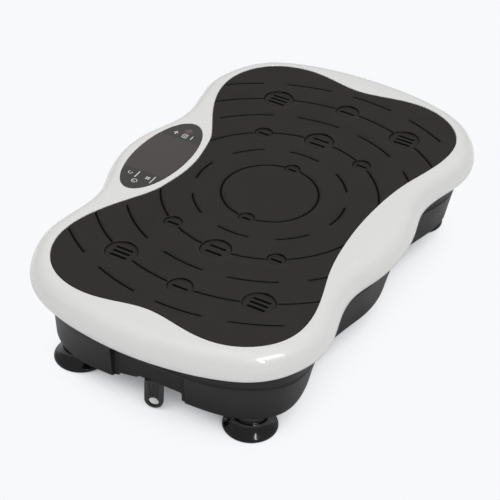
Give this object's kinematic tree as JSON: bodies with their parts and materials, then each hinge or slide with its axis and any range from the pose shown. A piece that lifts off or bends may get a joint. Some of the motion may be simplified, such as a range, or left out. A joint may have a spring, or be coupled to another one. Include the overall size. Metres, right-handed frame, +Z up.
{
  "type": "vibration plate",
  "caption": "Oscillating exercise platform: a rocking rubber-topped plate driven by a belt and eccentric over a suction-footed base, with a touch console and band hooks.",
  "frame": {"origin": "middle of the machine's footprint, on the floor plane", "axes": "+X along the long side, +Y towards the console side, +Z up"},
  "size_m": [0.535, 0.3286, 0.1214],
  "materials": {
    "white_gloss": "glossy white moulded plastic",
    "black_mat": "matt elastomer",
    "smoked_panel": "smoked gloss panel",
    "pcb": "green board",
    "display_black": "black",
    "spring_steel": "plated",
    "zinc_steel": "zinc plated",
    "painted_steel": "black powder coat",
    "bright_steel": "ground steel",
    "cast_alloy": "as cast",
    "black_shell": "satin black moulded plastic",
    "bronze": "bronze bush",
    "black_nylon": "satin black",
    "black_rubber": "matt",
    "brass_post": "bright",
    "aluminium_can": "bright",
    "rocker_red": "gloss red",
    "cable_black": "satin",
    "cup_rubber": "glossy black"
  },
  "bodies": {
    "base": {"base_shell": "black_shell", "block_screws": "zinc_steel", "board_capacitors": "aluminium_can", "board_standoffs": "brass_post", "bracket_screws": "zinc_steel", "chassis_plate": "zinc_steel", "chassis_screws": "zinc_steel", "drive_belt": "black_rubber", "eccentric_bearings": "bright_steel", "eccentric_block_front": "cast_alloy", "eccentric_block_rear": "cast_alloy", "end_buffers": "black_rubber", "foot_nuts": "zinc_steel", "foot_studs": "zinc_steel", "hook_pins": "zinc_steel", "inlet_pins": "brass_post", "mains_cable": "cable_black", "motor_bearings": "bright_steel", "motor_bracket": "painted_steel", "motor_cable": "cable_black", "motor_can": "painted_steel", "motor_end_bell": "cast_alloy", "motor_screws": "zinc_steel", "pivot_block_front": "cast_alloy", "pivot_block_rear": "cast_alloy", "pivot_bushes": "bronze", "power_board": "pcb", "power_inlet": "black_nylon", "power_transformer": "display_black", "suction_cup_1": "cup_rubber", "suction_cup_2": "cup_rubber", "suction_cup_3": "cup_rubber", "suction_cup_4": "cup_rubber", "switch_housing": "black_nylon"},
    "platform": {"top_cover": "white_gloss", "foot_mat": "black_mat", "console_panel": "smoked_panel", "display_board": "pcb", "console_tray": "black_shell", "display_module": "display_black", "touch_sensors": "spring_steel", "ir_receiver": "display_black", "cover_screws": "zinc_steel", "platform_plate": "painted_steel", "platform_rails": "painted_steel", "platform_bracket_front": "painted_steel", "platform_bracket_rear": "painted_steel", "pivot_pins": "bright_steel", "drive_yoke": "cast_alloy"},
    "motor_armature": {"motor_rotor": "bright_steel", "motor_pulley": "cast_alloy"},
    "eccentric": {"eccentric_shaft": "bright_steel", "driven_pulley": "black_nylon", "eccentric_roller": "bright_steel"},
    "hook_left": {"band_hook_left": "black_nylon"},
    "hook_right": {"band_hook_right": "black_nylon"},
    "rocker": {"switch_rocker": "rocker_red"}
  },
  "joints": [
    {"name": "platform_rock", "type": "hinge", "parent": "base", "child": "platform", "pos_m": [0, -0.00594, 0.075], "axis": [0, 1, 0], "range_deg": [-1.8, 1.8], "stiffness_Nm_per_rad": 400},
    {"name": "eccentric_spin", "type": "hinge", "parent": "base", "child": "eccentric", "pos_m": [0.07, -0.00594, 0.07], "axis": [0, 1, 0], "continuous": true},
    {"name": "motor_spin", "type": "hinge", "parent": "base", "child": "motor_armature", "pos_m": [-0.105, -0.00594, 0.07], "axis": [0, 1, 0], "continuous": true},
    {"name": "hook_left_swing", "type": "hinge", "parent": "base", "child": "hook_left", "pos_m": [-0.2186, -0.01034, 0.0344], "axis": [0, 0, 1], "range_deg": [-75, 45]},
    {"name": "hook_right_swing", "type": "hinge", "parent": "base", "child": "hook_right", "pos_m": [0.2186, -0.01034, 0.0344], "axis": [0, 0, -1], "range_deg": [-75, 45]},
    {"name": "switch_tilt", "type": "hinge", "parent": "base", "child": "rocker", "pos_m": [0.112, 0.11126, 0.046], "axis": [1, 0, 0], "range_deg": [-9, 9], "stiffness_Nm_per_rad": 0.05}
  ],
  "couplings": [
    {"joint": "eccentric_spin", "follows": "motor_spin", "ratio": 0.41667}
  ]
}
